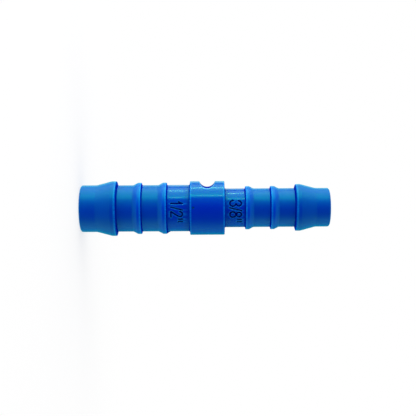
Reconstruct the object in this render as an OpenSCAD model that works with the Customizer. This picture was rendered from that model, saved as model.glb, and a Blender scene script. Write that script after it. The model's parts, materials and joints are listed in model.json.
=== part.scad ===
// Straight hose barb reducer, moulded in one piece: a larger barbed end, a round collar with a
// moulding notch, and a smaller barbed end, with a stepped passage right through.
// It stands on its larger end, its axis is +Z, and the notch is on the -X side.

/* [Overall] */
// Length over both ends
overall_length = 64.2; // [63:0.1:70]
// Distance from the tip of the larger end to the collar
large_end_length = 28.2; // [27:0.1:29]
// Distance from the tip of the smaller end to the collar
small_end_length = 27.1; // [26:0.1:28]

/* [Larger end] */
// Outside diameter between the barbs
large_neck_d = 12; // [11.4:0.1:12.4]
// Outside diameter of the smooth nose that enters the hose first
large_nose_d = 12.1; // [11.4:0.1:12.4]
// Diameter over the working barbs
large_barb_d = 13.3; // [12.8:0.1:13.6]
// Diameter over the leading barb
large_lead_d = 14.2; // [13.8:0.1:14.8]
// Distance from the tip to the back edge of the leading barb's crest
large_lead_back = 9.2; // [9:0.1:9.5]
// Diameter of the passage
large_bore_d = 9; // [8:0.1:9.4]

/* [Smaller end] */
// Outside diameter between the barbs
small_neck_d = 10; // [9.6:0.1:10.4]
// Outside diameter of the smooth nose that enters the hose first
small_nose_d = 10; // [9.6:0.1:10.4]
// Diameter over the working barbs
small_barb_d = 11.2; // [10.8:0.1:11.6]
// Diameter over the leading barb
small_lead_d = 12.1; // [11.6:0.1:12.4]
// Distance from the tip to the back edge of the leading barb's crest
small_lead_back = 8.7; // [8.5:0.1:9]
// Diameter of the passage
small_bore_d = 7; // [6:0.1:7.4]

/* [Barbs] */
// Barbs on each end, the leading one included
barb_count = 3; // [2:1:3]
// Distance from one barb to the next
barb_pitch = 6.5; // [6:0.1:6.8]
// Slope of the leading barb's long cone
lead_slope = 15; // [14:0.5:18]
// Flat width on top of the leading barb
lead_flat = 1.2; // [0.8:0.1:1.4]
// Slope of the short ramp on the working barbs
ramp_slope = 28; // [24:1:40]
// Flat width on top of the working barbs
barb_flat = 0.95; // [0.6:0.05:1.2]

/* [Collar] */
// Diameter of the collar
collar_d = 13.9; // [13.2:0.1:15]
// Radius of the round notch across the collar
notch_r = 2.05; // [1.5:0.05:2.4]
// Depth of the notch below the top of the collar
notch_depth = 1.6; // [0.8:0.1:1.8]

/* [Edges] */
// Radius at the rim of each end
nose_round = 0.45; // [0.2:0.05:0.6]
// Chamfer inside the mouth of each passage
mouth_chamfer = 0.25; // [0.1:0.05:0.3]
// Radius where a neck meets the collar
root_round = 0.4; // [0.2:0.05:0.6]
// Radius on the edges of the barbs and the collar
edge_round = 0.12; // [0.05:0.01:0.15]

/* [Hidden] */
$fn = 180;
// Straight lengths that make up each small arc of the section
arc_steps = 4;
// How far the foot of the leading barb's back face lies beyond the back edge of its crest
lead_rake = 0.15;
// Axial length of the cone that joins the two passages
passage_cone = 2;
collar_mid = (large_end_length + overall_length - small_end_length) / 2;

// Points along an arc about [r, u], with the radius s, from the angle a to the angle b
function arc(r, u, s, a, b) = [
    for (i = [0 : arc_steps])
        let (t = a + (b - a) * i / arc_steps)
            [r + s * cos(t), u + s * sin(t)]
];

// A barb's outline from the start of its ramp to the foot of its back face, as [radius, distance
// from the tip]. Its crest is a flat with a small round at the back.
function barb(ramp_r, neck_r, crest_r, back, flat, slope, rake) = concat(
    [
        [ramp_r, back - flat - (crest_r - ramp_r) / tan(slope)],
        [crest_r, back - flat]
    ],
    arc(crest_r - edge_round, back - edge_round, edge_round, 0, 90),
    [[neck_r, back + rake]]
);

// The mouth of the passage, the rounded rim and the start of the smooth nose
function rim(bore_r, nose_r) = concat(
    [
        [bore_r, mouth_chamfer],
        [bore_r + mouth_chamfer, 0]
    ],
    arc(nose_r - nose_round, nose_round, nose_round, -90, 0)
);

// The working barbs behind the leading one, a pitch apart
function working_barbs(neck_r, barb_r, lead_back) = [
    for (i = [1 : barb_count - 1])
        each barb(
            neck_r, neck_r, barb_r, lead_back + i * barb_pitch, barb_flat, ramp_slope, 0
        )
];

// The root round, the shoulder that stops the hose, and the collar's edge
function shoulder(neck_r, end_length) = let (collar_r = collar_d / 2) concat(
    arc(neck_r + root_round, end_length - root_round, root_round, 180, 90),
    arc(collar_r - edge_round, end_length + edge_round, edge_round, -90, 0)
);

// One whole end, from the mouth of its passage to the collar
function hose_end(bore_r, nose_r, neck_r, barb_r, lead_r, lead_back, end_length) = concat(
    rim(bore_r, nose_r),
    barb(nose_r, neck_r, lead_r, lead_back, lead_flat, lead_slope, lead_rake),
    working_barbs(neck_r, barb_r, lead_back),
    shoulder(neck_r, end_length)
);

// The same outline measured from the other tip, in the opposite order
function other_way(points) = [
    for (i = [len(points) - 1 : -1 : 0])
        [points[i][0], overall_length - points[i][1]]
];

// Half of the lengthwise section: both ends, and the cone where the two passages meet
module half_section() {
    large_end = hose_end(
        large_bore_d / 2, large_nose_d / 2, large_neck_d / 2, large_barb_d / 2,
        large_lead_d / 2, large_lead_back, large_end_length
    );
    small_end = hose_end(
        small_bore_d / 2, small_nose_d / 2, small_neck_d / 2, small_barb_d / 2,
        small_lead_d / 2, small_lead_back, small_end_length
    );
    passage_step = [
        [small_bore_d / 2, collar_mid + passage_cone / 2],
        [large_bore_d / 2, collar_mid - passage_cone / 2]
    ];
    polygon(concat(large_end, other_way(small_end), passage_step));
}

// The round groove straight across the collar, where the moulding gate is trimmed
module notch() {
    centre_height = collar_d / 2 - notch_depth + notch_r;
    translate([-centre_height, 0, collar_mid])
        rotate([90, 0, 0])
            cylinder(r = notch_r, h = 2 * collar_d, center = true);
}

module reducer_body() {
    color("#0a63b8")
        difference() {
            rotate_extrude() half_section();
            notch();
        }
}

reducer_body();
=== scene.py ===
import json
import math
from collections import namedtuple

import bpy
import numpy as np
from mathutils import Matrix, Vector


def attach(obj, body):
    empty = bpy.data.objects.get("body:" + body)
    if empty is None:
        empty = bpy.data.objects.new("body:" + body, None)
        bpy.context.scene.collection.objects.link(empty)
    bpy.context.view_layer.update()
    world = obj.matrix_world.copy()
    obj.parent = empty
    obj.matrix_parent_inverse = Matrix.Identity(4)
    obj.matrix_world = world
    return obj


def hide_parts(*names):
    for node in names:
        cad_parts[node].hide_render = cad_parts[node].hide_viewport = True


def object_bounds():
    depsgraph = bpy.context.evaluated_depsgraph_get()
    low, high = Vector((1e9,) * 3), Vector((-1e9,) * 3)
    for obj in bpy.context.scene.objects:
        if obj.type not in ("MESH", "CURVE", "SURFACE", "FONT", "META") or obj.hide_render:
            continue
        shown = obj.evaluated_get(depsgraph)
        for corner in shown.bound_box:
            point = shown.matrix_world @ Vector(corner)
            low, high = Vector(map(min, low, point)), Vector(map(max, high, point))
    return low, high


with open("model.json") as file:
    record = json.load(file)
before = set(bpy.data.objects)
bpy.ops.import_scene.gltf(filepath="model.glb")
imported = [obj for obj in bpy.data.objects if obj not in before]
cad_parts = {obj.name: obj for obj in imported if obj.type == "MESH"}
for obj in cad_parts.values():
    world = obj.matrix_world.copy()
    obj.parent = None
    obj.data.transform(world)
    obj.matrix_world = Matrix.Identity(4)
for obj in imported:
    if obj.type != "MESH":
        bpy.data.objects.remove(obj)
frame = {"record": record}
cad_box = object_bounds()

# The object is one moulded piece. Its surface is a lathe grid: rows follow the lengthwise section,
# columns go round the axis. All sizes below are millimetres until the mesh is made. Angles round
# the axis are degrees from -Y, positive towards +X, so the notch is at -90.
MM = 0.001
MOUNT = {m["name"]: m for m in frame["record"]["mounts"]}
LENGTH = (cad_box[1].z - cad_box[0].z) / MM
CREST_LIMIT = cad_box[1].x / MM
LARGE_STOP = MOUNT["large_stop"]["pos_m"][2] / MM
SMALL_STOP = MOUNT["small_stop"]["pos_m"][2] / MM
COLLAR_MID = (LARGE_STOP + SMALL_STOP) / 2

# One end of the fitting: radii, and distances from its own tip
LARGE = {
    "bore": MOUNT["large_bore"]["dims"]["r_mm"], "nose": MOUNT["large_nose"]["dims"]["r_mm"],
    "neck": 6.0, "barb": 6.65, "lead": 7.1, "lead_back": 9.2, "stop": LARGE_STOP,
}
SMALL = {
    "bore": MOUNT["small_bore"]["dims"]["r_mm"], "nose": MOUNT["small_nose"]["dims"]["r_mm"],
    "neck": 5.0, "barb": 5.6, "lead": 6.05, "lead_back": 8.7, "stop": LENGTH - SMALL_STOP,
}

# What both ends share: working barbs behind the leading one, their pitch, the slopes and flats of
# both kinds, and the slant of the leading one's wall. Then the collar and the passage.
BARBS = 2
BARB_PITCH = 6.5
LEAD_SLOPE = math.radians(15)
LEAD_FLAT = 1.2
LEAD_RAKE = 0.15
RAMP_SLOPE = math.radians(28)
BARB_FLAT = 0.95
COLLAR_R = 6.95
MOUTH_CHAMFER = 0.25
PASSAGE_CONE = 2.0

# The notch: radius, depth, the distance of its axis from the fitting's, the rounding of its edge,
# the width of the painted highlight on its rim, and the least cosine of the angle to -X at which
# its floor is worked out
NOTCH_R = 2.05
NOTCH_DEPTH = 1.6
NOTCH_AXIS = COLLAR_R - NOTCH_DEPTH + NOTCH_R
NOTCH_EDGE = 0.16
NOTCH_RIM = 0.5
NOTCH_FACING = 0.3

# Radii of the edges, corners and soft blends of the section
RIM_ROUND = 0.45
EDGE_ROUND = 0.14
FOOT_ROUND = 0.12
ROOT_ROUND = 0.4
MOUTH_ROUND = 0.08
SOFT_BLEND = 0.8
NOSE_BLEND = 3 * SOFT_BLEND
CREST_BLEND = SOFT_BLEND / 2

# Bands beside an edge or corner: the painted highlight at the end of each crest and its fade, the
# painted shade at the foot of a barb's wall and of the collar's, and where the painted shade on
# the neck beside the collar fades out
BRIGHT_BAND = 0.3
BRIGHT_FADE = 0.2
DARK_BAND = 0.2
ROOT_REACH = 0.2
ROOT_SHADE = (0.15, 1.1)

# How far down from a crest its painted highlight reaches, and where the painted shade at a
# wall's foot starts: how far below the crest, and how far on the crest's side of the wall
CREST_DEPTH = 1.1 * EDGE_ROUND
WALL_TOP = 0.3 * EDGE_ROUND
WALL_BACK = 0.6 * EDGE_ROUND

# The sizes engraved on the two smooth necks: stroke widths, depth, slanting wall, the painted
# highlight on the rim beside the strokes and its tone, and how deep a cut counts as the floor of
# a stroke, which gets painted shade
STROKE = 0.43
SLASH_STROKE = 0.36
INCH_STROKE = 0.41
MARK_DEPTH = 0.26
MARK_WALL = 0.09
MARK_RIM = 0.24
MARK_RIM_TONE = 0.85
STROKE_FLOOR = 0.6

# Moulding marks: the parting line's ridge, a scrap of flash behind a barb, a pit, and the angles
# of the two parting lines, the second of which carries the flash
RIDGE_HEIGHT = 0.035
RIDGE_WIDTH = 0.11
FLASH_LENGTH = 0.75
FLASH_HEIGHT = 0.6
FLASH_WIDTH = 0.12
FLASH_FILL = 0.95
PIT = {"z": 29.08, "angle": -5.2, "radius": 0.19, "depth": 0.15}
LINES = (-90, 90)

# The grid: extra rows at the engraved sizes, the notch and the pit, bands of columns as from, to
# and step, and the columns across a parting line
MARK_MARGIN = 0.3
MARK_STEP = 0.074
NOTCH_ROWS = 38
PIT_STEP = 0.08
COLUMN_BANDS = [
    (-180, -140, 3.3), (-140, -91, 1.15), (-89, -40, 1.15), (-40, -29, 2.2),
    (-29, 48, 0.62), (48, 87, 3.0), (93, 180, 3.3),
]
LINE_COLUMNS = np.array([-1.0, -0.5, 0.0, 0.5, 1.0])

# Small distances that tell rows and walls apart, and a distance beyond everything
NEAR = 0.01
SAME_RADIUS = 1e-6
ON_NECK = 1e-4
FAR = 99.0

# The radius beyond which points may carry detail, and the one beyond which faces lie outside
DETAIL_FROM = LARGE["bore"] + 2 * MOUTH_CHAMFER - 0.1
PASSAGE_REACH = LARGE["bore"] + 0.1

# The finishes, in the order of the mesh's materials; the third is a darker copy without sheen or
# gloss, painted shade
SATIN, GLOSSY, SHADED = 0, 1, 2

Wall = namedtuple("Wall", "z way crest neck foot_round slant")


def corner(z, r, bend):
    """A corner of the section, with the radius that rounds it."""
    return np.array([z, r]), bend


def end_section(e):
    """Outline of one end from the mouth of its passage to the edge of the collar."""
    crest_start = e["lead_back"] - LEAD_FLAT
    cone_start = crest_start - (e["lead"] - e["nose"]) / math.tan(LEAD_SLOPE)
    ramp = (e["barb"] - e["neck"]) / math.tan(RAMP_SLOPE)
    corners = [
        corner(MOUTH_CHAMFER, e["bore"], MOUTH_ROUND),
        corner(0, e["bore"] + MOUTH_CHAMFER, MOUTH_ROUND),
        corner(0, e["nose"], RIM_ROUND),
        corner(cone_start, e["nose"], NOSE_BLEND),
        corner(crest_start, e["lead"], SOFT_BLEND),
        corner(e["lead_back"], e["lead"], EDGE_ROUND),
        corner(e["lead_back"] + LEAD_RAKE, e["neck"], FOOT_ROUND),
    ]
    for i in range(1, BARBS + 1):
        back = e["lead_back"] + i * BARB_PITCH
        corners += [
            corner(back - BARB_FLAT - ramp, e["neck"], SOFT_BLEND),
            corner(back - BARB_FLAT, e["barb"], CREST_BLEND),
            corner(back, e["barb"], EDGE_ROUND),
            corner(back, e["neck"], FOOT_ROUND),
        ]
    corners.append(corner(e["stop"], e["neck"], ROOT_ROUND))
    corners.append(corner(e["stop"], COLLAR_R, EDGE_ROUND))
    return corners


def closed_section():
    """The whole section as a loop of corners, the passage last."""
    large = end_section(LARGE)
    small = [corner(LENGTH - p[0], p[1], bend) for p, bend in end_section(SMALL)]
    cone = [
        corner(COLLAR_MID + PASSAGE_CONE / 2, SMALL["bore"], CREST_BLEND),
        corner(COLLAR_MID - PASSAGE_CONE / 2, LARGE["bore"], CREST_BLEND),
    ]
    return large + small[::-1] + cone


def rounded(corners, steps=4, most=0.48):
    """Replaces each corner of a closed outline by an arc, which takes up at most the given share of
    either side. Returns the points, and for each of them how far it lies along a small convex
    round, which later gets a painted highlight."""
    points, edges = [], []
    count = len(corners)
    for i, (p, bend) in enumerate(corners):
        to_last = corners[i - 1][0] - p
        to_next = corners[(i + 1) % count][0] - p
        room = min(np.hypot(*to_last), np.hypot(*to_next)) * most
        a, b = to_last / np.hypot(*to_last), to_next / np.hypot(*to_next)
        half = math.acos(np.clip(a @ b, -1, 1)) / 2
        reach = min(bend / math.tan(half), room)
        middle = (a + b) / np.hypot(*(a + b))
        radius = reach * math.tan(half)
        centre = p + middle * radius / math.sin(half)
        sweep = math.pi / 2 - half
        convex = a[0] * b[1] - a[1] * b[0] > 0
        sharp = convex and radius < 2 * EDGE_ROUND
        side = np.array([-middle[1], middle[0]]) * (1 if convex else -1)
        for k in range(steps + 1):
            share = 2 * k / steps - 1
            t = sweep * share
            points.append(centre - middle * radius * math.cos(t) + side * radius * math.sin(t))
            edges.append(math.cos(math.pi / 2 * share) if sharp else 0.0)
    return np.array(points), np.array(edges)


def with_stations(points, edges, stations):
    """Adds rows on the plain outer cylinders of the section, at the stations that fall on them."""
    out, out_edges = [], []
    for i in range(len(points)):
        p, q = points[i], points[(i + 1) % len(points)]
        out.append(p)
        out_edges.append(edges[i])
        outside = p[1] > LARGE["bore"] + MOUTH_CHAMFER and q[0] > p[0]
        if outside and abs(p[1] - q[1]) < SAME_RADIUS:
            for z in stations:
                if p[0] + 2 * NEAR < z < q[0] - 2 * NEAR:
                    out.append(np.array([z, p[1]]))
                    out_edges.append(0.0)
    return np.array(out), np.array(out_edges)


def walls():
    """Each wall that a neck starts from: its height, which way its neck lies, the radii of its
    crest and its neck, the round at its foot and its slant."""
    found = []
    for e, tip, way in ((LARGE, 0, 1), (SMALL, LENGTH, -1)):
        lead = tip + way * e["lead_back"]
        found.append(Wall(lead, way, e["lead"], e["neck"], FOOT_ROUND, LEAD_RAKE))
        for i in range(1, BARBS + 1):
            z = tip + way * (e["lead_back"] + i * BARB_PITCH)
            found.append(Wall(z, way, e["barb"], e["neck"], FOOT_ROUND, 0.0))
        found.append(Wall(tip + way * e["stop"], -way, COLLAR_R, e["neck"], ROOT_ROUND, 0.0))
    return found


def dark_reach(wall):
    """How far from a wall the painted shade at its foot reaches along the neck."""
    if wall.crest == COLLAR_R:
        return ROOT_REACH
    return wall.slant + wall.foot_round + DARK_BAND


def row_stations():
    """Extra rows for the engraved sizes, the notch, the pit, and the bands beside each wall."""
    marks = [np.arange(m["low"] - MARK_MARGIN, m["high"] + MARK_MARGIN, MARK_STEP) for m in MARKS]
    notch = COLLAR_MID + NOTCH_R * np.sin(np.radians(np.linspace(-90, 90, NOTCH_ROWS)))
    pit = PIT["z"] + np.arange(-3, 4) * PIT_STEP
    bands = []
    for wall in walls():
        bands.append(wall.z - wall.way * BRIGHT_BAND)
        bands.append(wall.z - wall.way * (BRIGHT_BAND + BRIGHT_FADE))
        bands.append(wall.z + wall.way * dark_reach(wall))
    return np.unique(np.round(np.concatenate(marks + [notch, pit, bands]), 3))


def columns():
    """Angles of the columns: close together at the engraved sizes, the notch and the lines."""
    angles = [np.arange(a, b, step) for a, b, step in COLUMN_BANDS]
    angles += [LINE_COLUMNS + line for line in LINES]
    return np.unique(np.round(np.concatenate(angles), 3))


def arc(centre, radii, start, end, steps=14):
    """Points of an arc of an ellipse, angles in degrees."""
    t = np.radians(np.linspace(start, end, steps))
    return np.stack([centre[0] + radii[0] * np.cos(t), centre[1] + radii[1] * np.sin(t)], 1)


def one(x, h):
    """Strokes of the figure 1, h high, with its foot at x."""
    return [np.array([(x, 0), (x, h)]), arc((x - 0.85, h), (0.85, 1.0), 0, -62, 6)]


def two(x, h):
    """Strokes of the figure 2, h high, from x on."""
    bowl = arc((x + 0.66, h - 0.66), (0.66, 0.66), 175, -38)
    return [np.vstack([bowl, (x, 0.06), (x, 0), (x + 1.34, 0)])]


def three(x, h):
    """Strokes of the figure 3, h high, from x on."""
    low, high = 0.76, 0.66
    return [
        arc((x + 0.7, low), (0.74, low), 175, 440),
        arc((x + 0.7, h - high), (0.68, high), 185, -75),
    ]


def eight(x, h):
    """Strokes of the figure 8, h high, from x on."""
    low, high = 0.76, 0.62
    return [
        arc((x + 0.76, low), (0.74, low), 0, 360, 24),
        arc((x + 0.76, h - high), (0.58, high), 0, 360, 24),
    ]


def slash(x, h):
    """The stroke of a slash, h high, from x on."""
    return [np.array([(x, 0.0), (x + 0.75, h)])]


def inch(x, h, gap):
    """The two strokes of the inch sign, the first at x and the second a gap further."""
    return [np.array([(x + i * gap, h - 1.0), (x + i * gap, h)]) for i in range(2)]


# Each engraved size: its foot and top along the axis, where it starts round the neck, the neck,
# and its figures with their places along the size and their stroke widths
MARKS = [
    {"low": 23.43, "high": 26.33, "start": -2.3, "neck": LARGE["neck"], "figures": [
        (one, (0.65,), STROKE), (slash, (1.57,), SLASH_STROKE), (two, (2.75,), STROKE),
        (inch, (4.76, 0.71), INCH_STROKE)]},
    {"low": 38.38, "high": 41.34, "start": -2.22, "neck": SMALL["neck"], "figures": [
        (three, (0.0,), STROKE), (slash, (1.83,), SLASH_STROKE), (eight, (2.86,), STROKE),
        (inch, (5.05, 0.78), INCH_STROKE)]},
]


def distance_to(stroke, u, v):
    """Distance from each point (u, v) to a line of straight pieces."""
    best = np.full(u.shape, FAR)
    for (ax, ay), (bx, by) in zip(stroke[:-1], stroke[1:]):
        dx, dy = bx - ax, by - ay
        t = np.clip(((u - ax) * dx + (v - ay) * dy) / max(dx * dx + dy * dy, 1e-9), 0, 1)
        best = np.minimum(best, np.hypot(u - ax - t * dx, v - ay - t * dy))
    return best


def smooth(x):
    """Rises smoothly from 0 to 1 while x does."""
    x = np.clip(x, 0, 1)
    return x * x * (3 - 2 * x)


def engraving(mark, angle, z):
    """How deep the mark is cut at each point, from 0 to 1, and the tone of the painted highlight on
    the rim beside.
    """
    u = np.radians(angle) * mark["neck"] - mark["start"]
    v = z - mark["low"]
    cut, rim = np.zeros(u.shape), np.zeros(u.shape)
    for figure, (x, *more), width in mark["figures"]:
        for stroke in figure(x, mark["high"] - mark["low"], *more):
            inside = width / 2 + MARK_WALL / 2 - distance_to(stroke, u, v)
            cut = np.maximum(cut, smooth(inside / MARK_WALL))
            rim = np.maximum(rim, smooth(1 + inside / MARK_RIM))
    return cut, MARK_RIM_TONE * rim * (1 - cut)


def notch_radius(angle, z):
    """Distance from the fitting's axis to the notch's floor, very far where there is no notch."""
    across = np.cos(np.radians(angle + 90))
    along = (z - COLLAR_MID) / NOTCH_R
    floor = NOTCH_AXIS - NOTCH_R * np.sqrt(np.clip(1 - along**2, 0, 1))
    r = np.where(across > NOTCH_FACING, floor / np.clip(across, NOTCH_FACING, 1), FAR)
    return np.where(np.abs(along) < 1, r, FAR)


def soft_min(a, b, edge):
    """The smaller of a and b, rounded over where they are nearly the same."""
    h = np.clip(0.5 + 0.5 * (b - a) / edge, 0, 1)
    return b + (a - b) * h - edge * h * (1 - h)


def bump_across(angle, line, r, width):
    """1 on a lengthwise line at the given angle, falling to 0 about a width to either side."""
    off = (angle - line) * math.pi / 180 * r / width
    return np.exp(-(off**2) * 4)


def crest_edge(wall, z, r):
    """1 on the painted highlight at the end of the crest beside a wall, fading out along the crest.
    """
    inwards = (wall.z - z) * wall.way
    on_crest = (r > wall.crest - CREST_DEPTH) & (inwards > -2 * NEAR)
    return np.where(on_crest, smooth(1 - (inwards - BRIGHT_BAND) / BRIGHT_FADE), 0)


def barb_tone(wall, z, r):
    """Painted light: 1 on the upper half of a working barb, falling to 0 at the neck."""
    inwards = (wall.z - z) * wall.way
    height = wall.crest - wall.neck
    on_barb = (inwards > -NEAR) & (inwards < 2 * BARB_FLAT + height / math.tan(RAMP_SLOPE))
    return np.where(on_barb, smooth(2 * (r - wall.neck) / height), 0)


def root_tone(wall, z):
    """Painted shade: 1 on the neck beside the collar, fading out along the neck."""
    along = (z - wall.z) * wall.way
    near, far = ROOT_SHADE
    return np.where(along > 0, smooth((far - along) / (far - near)), 0)


def section_tones(z, r, edge):
    """The tones of the plain section: painted highlights on edges, painted light on the working
    barbs and painted shade at the collar roots.
    """
    barb, root = np.zeros(r.shape), np.zeros(r.shape)
    for wall in walls():
        edge = np.maximum(edge, crest_edge(wall, z, r))
        if wall.crest == COLLAR_R:
            root = np.maximum(root, root_tone(wall, z))
        elif wall.slant == 0:
            barb = np.maximum(barb, barb_tone(wall, z, r))
    return edge, barb, root


def flash(angle, z, r):
    """How far the scrap of flash in the corner behind the large end's last barb stands out."""
    back = LARGE["lead_back"] + BARBS * BARB_PITCH
    along = np.clip(1 - (z - back) / FLASH_LENGTH, 0, 1) * (z > back - NEAR)
    web = LARGE["neck"] + FLASH_HEIGHT * along
    lift = FLASH_FILL * (web - r) * bump_across(angle, LINES[1], r, FLASH_WIDTH)
    return np.where((r > DETAIL_FROM) & (r < web) & (z < back + FLASH_LENGTH), lift, 0)


def notched(collar, angle, z, r, edge):
    """The radius with the notch cut across the collar, and the edge tone with the painted highlight
    on its rim.
    """
    notch = notch_radius(angle, z)
    rim = 2 * smooth(1 - np.abs(r - notch) / NOTCH_RIM)
    edge = np.where(collar, np.maximum(edge, rim), edge)
    return np.where(collar, np.minimum(soft_min(r, notch, NOTCH_EDGE), r), r), edge


def engraved(angle, z, r, edge):
    """How deep the sizes are cut at each point, from 0 to 1, and the edge tone with the painted
    highlights on their rims.
    """
    cut = np.zeros(r.shape)
    for mark in MARKS:
        on_neck = (r > DETAIL_FROM) & (np.abs(r - mark["neck"]) < ON_NECK)
        depth, rim = engraving(mark, angle, z)
        cut = np.maximum(cut, np.where(on_neck, depth, 0))
        edge = np.maximum(edge, np.where(on_neck, rim, 0))
    return cut, edge


def pit_depth(angle, z):
    """How deep the pit is at each point."""
    away = np.hypot((angle - PIT["angle"]) * math.pi / 180 * COLLAR_R, z - PIT["z"])
    return PIT["depth"] * np.exp(-((away / PIT["radius"]) ** 2) * 2)


def plain_grid():
    """The plain section turned round the axis, as rows by columns: the angles of the columns, and
    the height, radius and edge tone of each point."""
    points, edges = rounded(closed_section())
    points, edges = with_stations(points, edges, row_stations())
    angle = columns()[None, :]
    z = np.repeat(points[:, 0:1], angle.size, 1)
    r = np.repeat(points[:, 1:2], angle.size, 1)
    return angle, z, r, np.repeat(edges[:, None], angle.size, 1)


def surface():
    """The grid with all its detail: its radius, height and angles, its colour tones with their
    painted light, shade and highlights, and where it belongs to the floor of the notch or of an
    engraved stroke, which gets painted shade."""
    angle, z, plain, edge = plain_grid()
    edge, barb, root = section_tones(z, plain, edge)
    on_collar = (z > LARGE_STOP + NEAR) & (z < SMALL_STOP - NEAR)
    collar = (plain > NOTCH_AXIS - NOTCH_R) & on_collar
    r, edge = notched(collar, angle, z, plain, edge)
    notch_floor = plain - r > NOTCH_EDGE
    cut, edge = engraved(angle, z, plain, edge)
    r = r - MARK_DEPTH * cut
    r = r - np.where(collar, pit_depth(angle, z), 0)
    for line in LINES:
        height = np.minimum(RIDGE_HEIGHT, CREST_LIMIT - plain)
        ridge = height * bump_across(angle, line, plain, RIDGE_WIDTH)
        r = r + np.where((plain > DETAIL_FROM) & (r > plain - 2 * NEAR), ridge, 0)
    r = r + flash(angle, z, plain)
    tones = {"edge": edge, "cut": cut, "barb": barb, "root": root}
    return r, z, angle, tones, notch_floor | (cut > STROKE_FLOOR)


def finishes(z, r, sunk_floor):
    """The finish of each face: the darker shaded copy, painted shade, on the feet of the walls, on
    sunk floors and in the passage, glossy between the last barbs, and satin elsewhere."""
    glossy_from = LARGE["lead_back"] + BARBS * BARB_PITCH
    glossy_to = LENGTH - SMALL["lead_back"] - BARBS * BARB_PITCH
    outer = r > PASSAGE_REACH
    dull = sunk_floor.copy()
    for wall in walls():
        along = (z - wall.z) * wall.way
        at_foot = (along > -WALL_BACK) & (along < dark_reach(wall))
        dull |= at_foot & (r < wall.crest - WALL_TOP)
    glossy = (z > glossy_from) & (z < glossy_to)
    passage = ~outer & (z > MOUTH_CHAMFER) & (z < LENGTH - MOUTH_CHAMFER)
    return np.where(passage | (outer & dull), SHADED, np.where(outer & glossy, GLOSSY, SATIN))


def add_tone(mesh, name, values):
    """Stores one value per point, which the materials read by name."""
    layer = mesh.attributes.new(name, "FLOAT", "POINT")
    layer.data.foreach_set("value", values.astype(np.float32).ravel())


def lathe(name):
    """Builds the closed grid as one mesh with its three finishes."""
    r, z, angle, tones, sunk_floor = surface()
    rows, cols = r.shape
    turn = np.radians(angle)
    xyz = np.stack([r * np.sin(turn), -r * np.cos(turn), z], 2).reshape(-1, 3) * MM
    xyz = np.clip(xyz, np.array(cad_box[0]), np.array(cad_box[1]))
    i, j = np.meshgrid(np.arange(rows), np.arange(cols), indexing="ij")
    here, right = i * cols + j, i * cols + (j + 1) % cols
    up, up_right = (i + 1) % rows * cols + j, (i + 1) % rows * cols + (j + 1) % cols
    faces = np.stack([here, right, up_right, up], 2).reshape(-1, 4)
    mesh = bpy.data.meshes.new(name)
    mesh.from_pydata(xyz.tolist(), [], faces.tolist())
    mesh.validate()
    for tone, values in tones.items():
        add_tone(mesh, tone, values)
    face_z = z.ravel()[faces].mean(axis=1)
    face_r = r.ravel()[faces].mean(axis=1)
    finish = finishes(face_z, face_r, sunk_floor.ravel()[faces].all(axis=1))
    mesh.polygons.foreach_set("material_index", finish.astype(np.int32))
    mesh.polygons.foreach_set("use_smooth", np.ones(len(faces), dtype=bool))
    mesh.update()
    obj = bpy.data.objects.new(name, mesh)
    bpy.context.collection.objects.link(obj)
    return obj


def connect(tree, value, socket):
    """Links another node's output to the socket, or sets a plain value on it."""
    if isinstance(value, bpy.types.NodeSocket):
        tree.links.new(value, socket)
    else:
        socket.default_value = value


def node(tree, kind, x, y, **inputs):
    """Adds a node at a place in the editor, with some of its inputs set."""
    n = tree.nodes.new(kind)
    n.location = (x, y)
    for key, value in inputs.items():
        n.inputs[key.replace("_", " ")].default_value = value
    return n


def mix_colour(tree, x, y, factor, a, b):
    """The colour a where the factor is 0 and b where it is 1."""
    n = node(tree, "ShaderNodeMix", x, y)
    n.data_type = "RGBA"
    for socket, value in ((0, factor), (6, a), (7, b)):
        connect(tree, value, n.inputs[socket])
    return n.outputs[2]


def map_range(tree, x, y, value, low, high, to_low, to_high):
    """The value, moved from the first range to the second and kept in it."""
    n = node(tree, "ShaderNodeMapRange", x, y)
    tree.links.new(value, n.inputs["Value"])
    for key, v in (("From Min", low), ("From Max", high), ("To Min", to_low), ("To Max", to_high)):
        n.inputs[key].default_value = v
    return n.outputs["Result"]


def math_node(tree, x, y, operation, a, b):
    """The result of one operation on two values."""
    n = node(tree, "ShaderNodeMath", x, y)
    n.operation = operation
    for socket, value in zip(n.inputs, (a, b)):
        connect(tree, value, socket)
    return n.outputs[0]


def attribute(tree, x, y, name):
    """One of the mesh's tones."""
    n = node(tree, "ShaderNodeAttribute", x, y)
    n.attribute_name = name
    return n.outputs["Fac"]


def noise(tree, x, y, coords, scale, detail=3.0):
    """Noise from about 0.3 to 0.7."""
    n = node(tree, "ShaderNodeTexNoise", x, y, Scale=scale, Detail=detail, Roughness=0.55)
    tree.links.new(coords, n.inputs["Vector"])
    return n.outputs["Fac"]


# Base colours: satin parts, thin spots and glossy parts of the plastic, painted shade in the cut
# strokes together with the dark specks, a painted highlight on the rim of the notch, painted light
# on the working barbs, painted shade in the corners and painted highlights on edges, then the
# tints of its highlights and of its sheen
BLUE = (0.0, 0.002, 0.50, 1)
BLUE_THIN = (0.0, 0.006, 0.54, 1)
BLUE_CLEAR = (0.0, 0.001, 0.54, 1)
BLUE_DEEP = (0.0, 0.0, 0.19, 1)
BLUE_PALE = (0.20, 0.44, 0.85, 1)
BLUE_BARB = (0.0, 0.002, 0.66, 1)
BLUE_SHADE = (0.0, 0.012, 0.32, 1)
BLUE_HIGHLIGHT = (0.0, 0.22, 0.86, 1)
HIGHLIGHT_TINT = (0.0, 1.0, 0.15, 1)
SHEEN_TINT = (0.0, 0.83, 0.75, 1)

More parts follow.
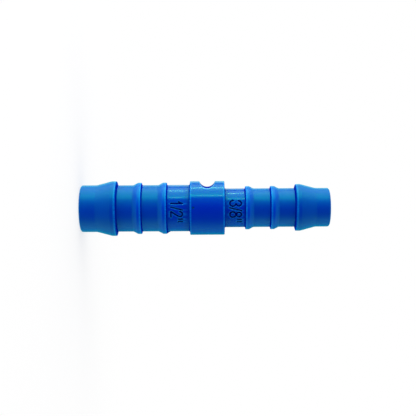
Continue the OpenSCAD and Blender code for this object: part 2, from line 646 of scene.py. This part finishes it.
# How dark the painted shade at the collar's roots gets, the least and most share of an edge's
# painted highlight, the edge tones between which the notch's rim turns to its pale painted
# highlight, and the cut depths between which a stroke turns to its painted shade
ROOT_DARKNESS = 0.4
HIGHLIGHT_SHARE = (0.25, 0.6)
PALE_FROM = (1.3, 1.9)
CUT_FROM = (0.2, 0.8)

# Surface of the plastic: how far the roughness varies either way, the roughness of its sheen and
# coat, the scales of its noises, and the height of the coat's ripple in metres
PLASTIC_IOR = 1.7
ROUGHNESS_SPREAD = 0.02
SHEEN_ROUGHNESS = 0.47
COAT_ROUGHNESS = 0.06
CLOUD_SCALE = 260
SPECKLE_SCALE = 2400
GRAIN_SCALE = 7000
RIPPLE_SCALE = 1900
RIPPLE_HEIGHT = 0.000007

# The finishes, numbered as above: roughness, height of the grain in metres, specular level, sheen,
# coat and the two base colours
FINISHES = {
    "satin_blue_plastic": (0.37, 0.000005, 0.78, 1.0, 0.0, (BLUE, BLUE_THIN)),
    "glossy_blue_plastic": (0.235, 0.000002, 0.7, 0.9, 0.1, (BLUE_CLEAR, BLUE_THIN)),
    # A darker copy without sheen or gloss, for painted shade in corners, sunk floors and the
    # passage
    "shaded_blue_plastic": (0.5, 0.000005, 0.0, 0.0, 0.0, (BLUE_SHADE, BLUE_SHADE)),
}

# Dark specks, the last of which darkens the pit: height, angle round the axis, radius of the
# surface and size, then the shares of that size between which a speck fades out
SPECKS = [
    (10.08, -60.2, LARGE["neck"], 0.15), (9.72, 38.7, LARGE["neck"], 0.12),
    (PIT["z"], PIT["angle"], COLLAR_R, 0.30),
]
SPECK_EDGE = (0.7, 1.3)


def on_cylinder(z, angle, radius):
    """A place on a cylinder in metres, from its height, angle and radius."""
    turn = math.radians(angle)
    return radius * math.sin(turn) * MM, -radius * math.cos(turn) * MM, z * MM


def specks(tree, x, y, coords):
    """1 inside any of the dark specks, 0 elsewhere."""
    total = 0.0
    for i, (z, angle, radius, size) in enumerate(SPECKS):
        row = y - 200 * i
        away = node(tree, "ShaderNodeVectorMath", x, row)
        away.operation = "DISTANCE"
        tree.links.new(coords, away.inputs[0])
        away.inputs[1].default_value = on_cylinder(z, angle, radius)
        near, far = SPECK_EDGE[0] * size * MM, SPECK_EDGE[1] * size * MM
        inside = map_range(tree, x + 200, row, away.outputs["Value"], near, far, 1, 0)
        total = math_node(tree, x + 400, row, "MAXIMUM", inside, total)
    return total


def plastic_colour(tree, coords, speckle, base):
    """The plastic's colour, from the base colours and the mesh's tones, with painted light, shade
    and highlights.
    """
    cloud = map_range(tree, -900, 300, noise(tree, -1100, 300, coords, CLOUD_SCALE), 0.3, 0.7, 0, 1)
    colour = mix_colour(tree, -700, 300, cloud, *base)
    # Painted light: the raised half of each working barb is lighter
    colour = mix_colour(tree, -600, 350, attribute(tree, -800, 1000, "barb"), colour, BLUE_BARB)
    # Painted shade on the neck beside the collar's roots
    root = map_range(tree, -800, 1400, attribute(tree, -1000, 1400, "root"), 0, 1, 0, ROOT_DARKNESS)
    colour = mix_colour(tree, -550, 350, root, colour, BLUE_SHADE)
    # Painted highlights on the crest ends, edge rounds and the rims of the notch and strokes,
    # varied by the speckle
    edge = attribute(tree, -900, 600, "edge")
    highlight_amount = map_range(tree, -900, 450, speckle, 0.35, 0.65, *HIGHLIGHT_SHARE)
    painted_highlight = math_node(tree, -700, 600, "MULTIPLY", edge, highlight_amount)
    colour = mix_colour(tree, -500, 400, painted_highlight, colour, BLUE_HIGHLIGHT)
    # The strongest edge tones turn the notch's rim to a pale painted highlight
    pale = map_range(tree, -700, 1200, edge, *PALE_FROM, 0, 1)
    colour = mix_colour(tree, -400, 400, pale, colour, BLUE_PALE)
    # Painted shade in the cut strokes, together with the dark specks
    cut = map_range(tree, -700, 800, attribute(tree, -900, 800, "cut"), *CUT_FROM, 0, 1)
    dark = math_node(tree, -500, 800, "MAXIMUM", cut, specks(tree, -1300, 1600, coords))
    return mix_colour(tree, -300, 400, dark, colour, BLUE_DEEP)


def add_coat(tree, shader, coords, weight):
    """A thin clear layer with a slight ripple, which breaks up the thin highlights."""
    shader.inputs["Coat Weight"].default_value = weight
    shader.inputs["Coat Roughness"].default_value = COAT_ROUGHNESS
    ripple = node(tree, "ShaderNodeBump", -300, -600, Strength=1.0, Distance=RIPPLE_HEIGHT)
    waves = noise(tree, -700, -600, coords, RIPPLE_SCALE, 2.0)
    tree.links.new(waves, ripple.inputs["Height"])
    tree.links.new(ripple.outputs["Normal"], shader.inputs["Coat Normal"])


def plastic(name, roughness, grain, gloss, sheen, coat, base):
    """Moulded blue plastic. Object coordinates are metres, so a noise scale of 1000 is 1 mm."""
    mat = bpy.data.materials.new(name)
    mat.use_nodes = True
    tree = mat.node_tree
    shader = tree.nodes["Principled BSDF"]
    coords = node(tree, "ShaderNodeTexCoord", -1300, 0).outputs["Object"]
    speckle = noise(tree, -1100, 0, coords, SPECKLE_SCALE)
    tree.links.new(plastic_colour(tree, coords, speckle, base), shader.inputs["Base Color"])
    smoothest, roughest = roughness - ROUGHNESS_SPREAD, roughness + ROUGHNESS_SPREAD
    rough = map_range(tree, -500, 0, speckle, 0.3, 0.7, smoothest, roughest)
    tree.links.new(rough, shader.inputs["Roughness"])
    bump = node(tree, "ShaderNodeBump", -300, -300, Strength=0.5, Distance=grain)
    tree.links.new(noise(tree, -1100, -300, coords, GRAIN_SCALE, 2.0), bump.inputs["Height"])
    tree.links.new(bump.outputs["Normal"], shader.inputs["Normal"])
    shader.inputs["Specular Tint"].default_value = HIGHLIGHT_TINT
    shader.inputs["Specular IOR Level"].default_value = gloss
    shader.inputs["IOR"].default_value = PLASTIC_IOR
    shader.inputs["Sheen Weight"].default_value = sheen
    shader.inputs["Sheen Roughness"].default_value = SHEEN_ROUGHNESS
    shader.inputs["Sheen Tint"].default_value = SHEEN_TINT
    if coat:
        add_coat(tree, shader, coords, coat)
    return mat


def build_body():
    """The whole visible body, which takes the place of the solid."""
    body = lathe("moulded_body")
    for name, finish in FINISHES.items():
        body.data.materials.append(plastic(name, *finish))
    shading = body.modifiers.new("even_shading", "WEIGHTED_NORMAL")
    shading.mode = "FACE_AREA"
    shading.weight = 50
    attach(body, "root")
    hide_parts("reducer_body")


def level(angle):
    """A level direction, its angle in degrees from -Y, positive towards +X."""
    turn = math.radians(angle)
    return math.sin(turn), -math.cos(turn), 0


# The surroundings: their brightness, and that of the studio in reflections. Then two cones where
# all is dimmer, one round the camera and one behind on the side away from the notch, and the cone
# of the white backdrop. Each edge holds the cosines between which the brightness changes.
AMBIENT = 1.17
STUDIO_DIM = 0.05
FRONT_FACING = level(20)
FRONT_EDGE = (0.86, 0.52)
FRONT_DIM = 0.1
REAR_FACING = level(150)
REAR_EDGE = (0.87, 0.64)
REAR_DIM = 0.2
BACKDROP_FACING = level(-168)
BACKDROP_EDGE = (0.88, 0.96)

# The floor: its size and height in metres, its colour, how much of the shadow it shows, and the
# distances in metres between which even that fades out
FLOOR_SIZE = 6
FLOOR_HEIGHT = -0.00005
FLOOR_WHITE = (0.9, 0.9, 0.9, 1)
SHADOW_SHARE = 0.35
SHADOW_REACH = (0.04, 0.12)


def towards(tree, x, y, direction, facing):
    """How nearly a direction points the given way, from -1 to 1."""
    n = node(tree, "ShaderNodeVectorMath", x, y)
    n.operation = "DOT_PRODUCT"
    tree.links.new(direction, n.inputs[0])
    n.inputs[1].default_value = facing
    return n.outputs["Value"]


def build_world():
    """White to the camera. Reflections show the white backdrop behind the object and a dark studio
    elsewhere, and all other light comes evenly, but for the two dimmer cones."""
    world = bpy.data.worlds.new("white_surround")
    world.use_nodes = True
    bpy.context.scene.world = world
    tree = world.node_tree
    rays = node(tree, "ShaderNodeLightPath", -1200, 0)
    direction = node(tree, "ShaderNodeTexCoord", -1400, 300).outputs["Generated"]
    behind = towards(tree, -1200, 300, direction, BACKDROP_FACING)
    studio = map_range(tree, -1000, 300, behind, *BACKDROP_EDGE, STUDIO_DIM - AMBIENT, 1 - AMBIENT)
    studio = math_node(tree, -600, 200, "MULTIPLY", studio, rays.outputs["Is Glossy Ray"])
    unseen = math_node(tree, -500, 200, "ADD", studio, AMBIENT)
    ahead = towards(tree, -1200, 600, direction, FRONT_FACING)
    front = map_range(tree, -1000, 600, ahead, *FRONT_EDGE, FRONT_DIM, 1)
    unseen = math_node(tree, -400, 200, "MULTIPLY", unseen, front)
    aside = towards(tree, -1200, 900, direction, REAR_FACING)
    rear = map_range(tree, -1000, 900, aside, *REAR_EDGE, REAR_DIM, 1)
    unseen = math_node(tree, -300, 200, "MULTIPLY", unseen, rear)
    strength = math_node(tree, -200, 0, "MAXIMUM", unseen, rays.outputs["Is Camera Ray"])
    tree.links.new(strength, tree.nodes["Background"].inputs["Strength"])
    tree.nodes["Background"].inputs["Color"].default_value = (1, 1, 1, 1)


def pale_floor():
    """White, with a soft share of the shadow near the object."""
    mat = bpy.data.materials.new("pale_floor")
    mat.use_nodes = True
    tree = mat.node_tree
    tree.nodes.clear()
    out = node(tree, "ShaderNodeOutputMaterial", 600, 0)
    lit = node(tree, "ShaderNodeBsdfDiffuse", 0, 100, Color=FLOOR_WHITE)
    glow = node(tree, "ShaderNodeEmission", 0, -100, Strength=1.0)
    place = node(tree, "ShaderNodeTexCoord", -800, 600).outputs["Object"]
    length = node(tree, "ShaderNodeVectorMath", -600, 600)
    length.operation = "LENGTH"
    tree.links.new(place, length.inputs[0])
    away = length.outputs["Value"]
    white = map_range(tree, -400, 600, away, *SHADOW_REACH, 1 - SHADOW_SHARE, 1)
    mix = node(tree, "ShaderNodeMixShader", 300, 0)
    tree.links.new(white, mix.inputs[0])
    tree.links.new(lit.outputs[0], mix.inputs[1])
    tree.links.new(glow.outputs[0], mix.inputs[2])
    tree.links.new(mix.outputs[0], out.inputs["Surface"])
    return mat


def build_floor():
    """A plain pale floor under the standing part, which only the camera sees."""
    bpy.ops.mesh.primitive_plane_add(size=FLOOR_SIZE, location=(0, 0, FLOOR_HEIGHT))
    floor = bpy.context.active_object
    floor.name = "floor"
    floor.data.materials.append(pale_floor())
    for ray in ("diffuse", "glossy", "transmission", "shadow"):
        setattr(floor, "visible_" + ray, False)


# The lamps: angle round the axis in degrees from the camera's side towards the notch's, distance,
# width and height in metres, power in watts, and the kind of ray that doesn't see the lamp. A
# broad lamp lights the notch's side, a fill opposite isn't reflected, a card is only reflected,
# and two strips make the thin highlight lines.
LAMPS = [
    ("broad_lamp", 77, 0.30, 0.25, 0.5, 0.58, None),
    ("low_fill", -105, 0.30, 0.30, 0.5, 0.18, "glossy"),
    ("rear_card", 113, 0.30, 0.12, 0.5, 0.24, "diffuse"),
    ("front_strip", 59, 0.29, 0.012, 0.06, 0.022, None),
    ("rear_strip", 100, 0.29, 0.012, 0.06, 0.040, None),
]
MIDDLE = Vector((0, 0, COLLAR_MID * MM))


def area_light(name, angle, distance, width, height, power, unseen_by):
    """An upright rectangular lamp that faces the middle of the collar."""
    lamp = bpy.data.lights.new(name, "AREA")
    lamp.shape = "RECTANGLE"
    lamp.size = width
    lamp.size_y = height
    lamp.energy = power
    obj = bpy.data.objects.new(name, lamp)
    turn = math.radians(angle)
    place = MIDDLE + Vector((-math.sin(turn) * distance, -math.cos(turn) * distance, 0))
    back = (place - MIDDLE).normalized()
    side = Vector((0, 0, 1)).cross(back).normalized()
    spin = Matrix((side, back.cross(side), back)).transposed().to_4x4()
    obj.matrix_world = Matrix.Translation(place) @ spin
    bpy.context.collection.objects.link(obj)
    if unseen_by:
        setattr(obj, "visible_" + unseen_by, False)


def build_lights():
    """All the lamps."""
    for lamp in LAMPS:
        area_light(*lamp)


# The camera: the photograph's distance in metres and its field of view. Its picture lies on its
# side, with the fitting's axis across it, and it looks from slightly nearer the notch, at a
# height on the axis in millimetres.
IMAGE_SIZE = 416
FOCAL_PIXELS = 850
SENSOR_WIDTH = 36
CLIP_START = 0.01
DISTANCE = 0.221
RAISED = math.radians(4.5)
ROLL = math.radians(0.366)
AIM_HEIGHT = 32.84


def build_camera():
    """The photograph's camera."""
    cam = bpy.data.cameras.new("camera")
    cam.sensor_width = SENSOR_WIDTH
    cam.lens = cam.sensor_width * FOCAL_PIXELS / IMAGE_SIZE
    cam.clip_start = CLIP_START
    obj = bpy.data.objects.new("camera", cam)
    back = Vector((-math.sin(RAISED), -math.cos(RAISED), 0))
    along = Vector((0, 0, 1))
    right = along * math.cos(ROLL) - back.cross(along) * math.sin(ROLL)
    spin = Matrix((right, back.cross(right), back)).transposed().to_4x4()
    place = Vector((0, 0, AIM_HEIGHT * MM)) + back * DISTANCE
    obj.matrix_world = Matrix.Translation(place) @ spin
    bpy.context.collection.objects.link(obj)
    bpy.context.scene.camera = obj


build_camera()
build_body()
build_world()
build_floor()
build_lights()
bpy.context.scene.view_settings.view_transform = "Standard"
